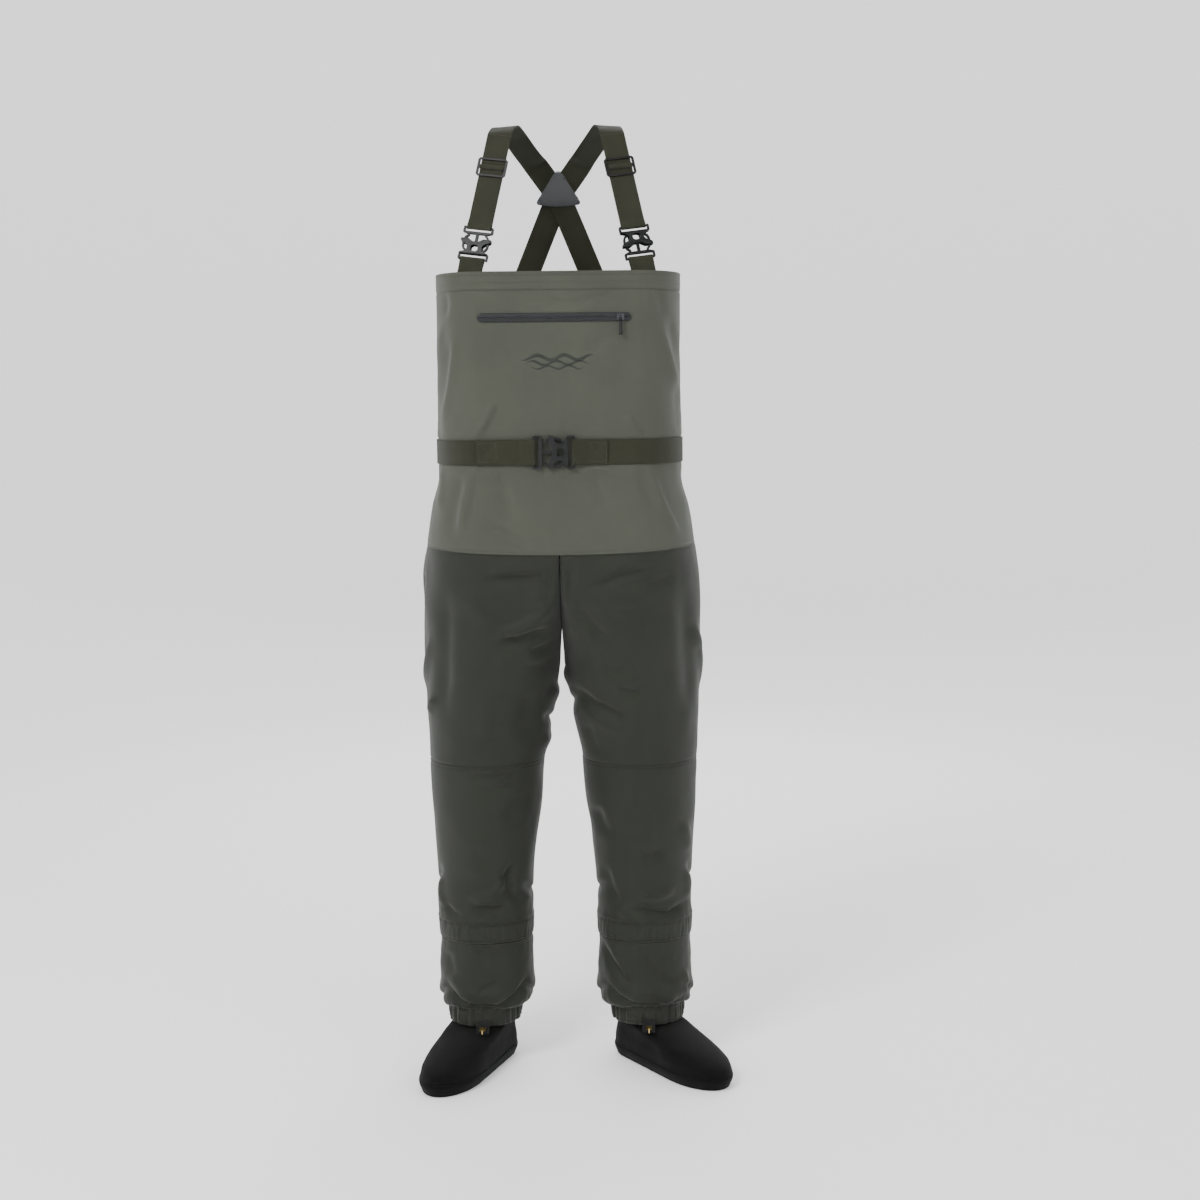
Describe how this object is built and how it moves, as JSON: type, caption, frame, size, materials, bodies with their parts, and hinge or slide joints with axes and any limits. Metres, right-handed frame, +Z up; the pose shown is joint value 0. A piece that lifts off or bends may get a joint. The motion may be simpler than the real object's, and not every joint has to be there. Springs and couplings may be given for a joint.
{
  "type": "chest waders",
  "caption": "Stockingfoot chest waders with elastic shoulder straps, side-release buckles, zipped chest pocket, waist belt, gravel guards and neoprene booties.",
  "frame": {"origin": "middle of the floor area under the waders, on the surface the soles stand on", "axes": "+Z up; the front faces -Y; the wearer's left is +X"},
  "size_m": [0.4856, 0.3362, 1.4837],
  "materials": {
    "bib_fabric": "matt coated nylon, light grey-green",
    "leg_fabric": "matt coated nylon, dark grey-green",
    "webbing": "ribbed olive webbing",
    "black_webbing": "black webbing",
    "neoprene": "fabric-faced neoprene",
    "black_plastic": "satin moulded acetal",
    "gloss_black": "smooth moulded plastic",
    "puller": "moulded soft plastic",
    "zip_tape": "coated zip tape",
    "zip_metal": "black painted zinc",
    "rivet_metal": "blackened steel",
    "hook_metal": "brushed"
  },
  "bodies": {
    "waders": {"bib_front": "bib_fabric", "bib_back": "bib_fabric", "chest_pocket_bag": "bib_fabric", "zip_tape": "zip_tape", "left_upper_leg": "leg_fabric", "left_lower_leg": "leg_fabric", "left_calf_band": "leg_fabric", "left_gravel_guard": "leg_fabric", "left_ankle_cuff": "leg_fabric", "left_bootie": "neoprene", "left_bootie_sole": "neoprene", "left_strap_tab": "webbing", "left_strap_front": "webbing", "left_shoulder_strap": "webbing", "right_upper_leg": "leg_fabric", "right_lower_leg": "leg_fabric", "right_calf_band": "leg_fabric", "right_gravel_guard": "leg_fabric", "right_ankle_cuff": "leg_fabric", "right_bootie": "neoprene", "right_bootie_sole": "neoprene", "right_strap_tab": "webbing", "right_strap_front": "webbing", "right_shoulder_strap": "webbing", "yoke_outer_plate": "gloss_black", "yoke_inner_plate": "gloss_black", "yoke_rivet_top": "rivet_metal", "yoke_rivet_left": "rivet_metal", "yoke_rivet_right": "rivet_metal", "belt_webbing": "webbing", "belt_front_run": "webbing", "belt_keeper": "webbing", "belt_buckle_female": "black_plastic", "right_buckle_female": "black_plastic", "left_buckle_male": "black_plastic"},
    "left_buckle_upper": {"left_buckle_female": "black_plastic", "left_strap_back_layer": "webbing"},
    "right_buckle_upper": {"right_buckle_male": "black_plastic", "right_strap_back_layer": "webbing"},
    "left_outer_arm": {"left_buckle_outer_arm": "black_plastic"},
    "left_inner_arm": {"left_buckle_inner_arm": "black_plastic"},
    "left_adjuster": {"left_adjuster": "black_plastic", "left_adjuster_loop": "webbing"},
    "left_hook": {"left_hook_tab": "black_webbing", "left_lace_hook": "hook_metal"},
    "right_outer_arm": {"right_buckle_outer_arm": "black_plastic"},
    "right_inner_arm": {"right_buckle_inner_arm": "black_plastic"},
    "right_adjuster": {"right_adjuster": "black_plastic", "right_adjuster_loop": "webbing"},
    "right_hook": {"right_hook_tab": "black_webbing", "right_lace_hook": "hook_metal"},
    "belt_male": {"belt_buckle_male": "black_plastic"},
    "belt_upper_arm": {"belt_buckle_upper_arm": "black_plastic"},
    "belt_lower_arm": {"belt_buckle_lower_arm": "black_plastic"},
    "zip_slider": {"zip_slider": "zip_metal"},
    "zip_puller": {"zip_puller": "puller"}
  },
  "joints": [
    {"name": "left_buckle_slide", "type": "slide", "parent": "waders", "child": "left_buckle_upper", "axis": [-0.1988, 0.2982, 0.9336], "range_m": [0, 0.028], "deforming": ["left_strap_front"]},
    {"name": "left_adjuster_slide", "type": "slide", "parent": "left_buckle_upper", "child": "left_adjuster", "axis": [-0.1988, 0.2982, 0.9336], "range_m": [-0.045, 0.012], "deforming": ["left_strap_back_layer"]},
    {"name": "left_outer_arm_squeeze", "type": "hinge", "parent": "waders", "child": "left_outer_arm", "pos_m": [0.12098, -0.06877, 1.28457], "axis": [0.1857, -0.9239, 0.3347], "range_deg": [0, 8], "stiffness_Nm_per_rad": 0.05},
    {"name": "left_inner_arm_squeeze", "type": "hinge", "parent": "waders", "child": "left_inner_arm", "pos_m": [0.09475, -0.07531, 1.28108], "axis": [-0.1857, 0.9239, -0.3347], "range_deg": [0, 8], "stiffness_Nm_per_rad": 0.05},
    {"name": "right_buckle_slide", "type": "slide", "parent": "waders", "child": "right_buckle_upper", "axis": [0.1988, 0.2982, 0.9336], "range_m": [0, 0.028], "deforming": ["right_strap_front"]},
    {"name": "right_adjuster_slide", "type": "slide", "parent": "right_buckle_upper", "child": "right_adjuster", "axis": [0.1988, 0.2982, 0.9336], "range_m": [-0.045, 0.012], "deforming": ["right_strap_back_layer"]},
    {"name": "right_outer_arm_squeeze", "type": "hinge", "parent": "right_buckle_upper", "child": "right_outer_arm", "pos_m": [-0.14856, -0.06043, 1.31068], "axis": [-0.1857, -0.9239, 0.3347], "range_deg": [0, 8], "stiffness_Nm_per_rad": 0.05},
    {"name": "right_inner_arm_squeeze", "type": "hinge", "parent": "right_buckle_upper", "child": "right_inner_arm", "pos_m": [-0.12233, -0.06697, 1.30718], "axis": [0.1857, 0.9239, -0.3347], "range_deg": [0, 8], "stiffness_Nm_per_rad": 0.05},
    {"name": "belt_buckle_slide", "type": "slide", "parent": "waders", "child": "belt_male", "axis": [-1, 0, 0], "range_m": [0, 0.03], "deforming": ["belt_front_run"]},
    {"name": "belt_upper_arm_squeeze", "type": "hinge", "parent": "belt_male", "child": "belt_upper_arm", "pos_m": [-0.04025, -0.10059, 0.9965], "axis": [0, 1, 0], "range_deg": [0, 8], "stiffness_Nm_per_rad": 0.05},
    {"name": "belt_lower_arm_squeeze", "type": "hinge", "parent": "belt_male", "child": "belt_lower_arm", "pos_m": [-0.04025, -0.10059, 0.9675], "axis": [0, -1, 0], "range_deg": [0, 8], "stiffness_Nm_per_rad": 0.05},
    {"name": "zip_slide", "type": "slide", "parent": "waders", "child": "zip_slider", "axis": [-1, 0, 0], "range_m": [0, 0.19]},
    {"name": "zip_puller_hinge", "type": "hinge", "parent": "zip_slider", "child": "zip_puller", "pos_m": [0.07893, -0.10329, 1.184], "axis": [-1, 0, 0], "range_deg": [0, 120]},
    {"name": "left_hook_hinge", "type": "hinge", "parent": "waders", "child": "left_hook", "pos_m": [0.11493, -0.03329, 0.077], "axis": [-1, 0, 0], "range_deg": [0, 80]},
    {"name": "right_hook_hinge", "type": "hinge", "parent": "waders", "child": "right_hook", "pos_m": [-0.14807, -0.03329, 0.077], "axis": [-1, 0, 0], "range_deg": [0, 80]}
  ],
  "couplings": [
    {"joint": "left_inner_arm_squeeze", "follows": "left_outer_arm_squeeze", "ratio": 1},
    {"joint": "right_inner_arm_squeeze", "follows": "right_outer_arm_squeeze", "ratio": 1},
    {"joint": "belt_lower_arm_squeeze", "follows": "belt_upper_arm_squeeze", "ratio": 1}
  ]
}
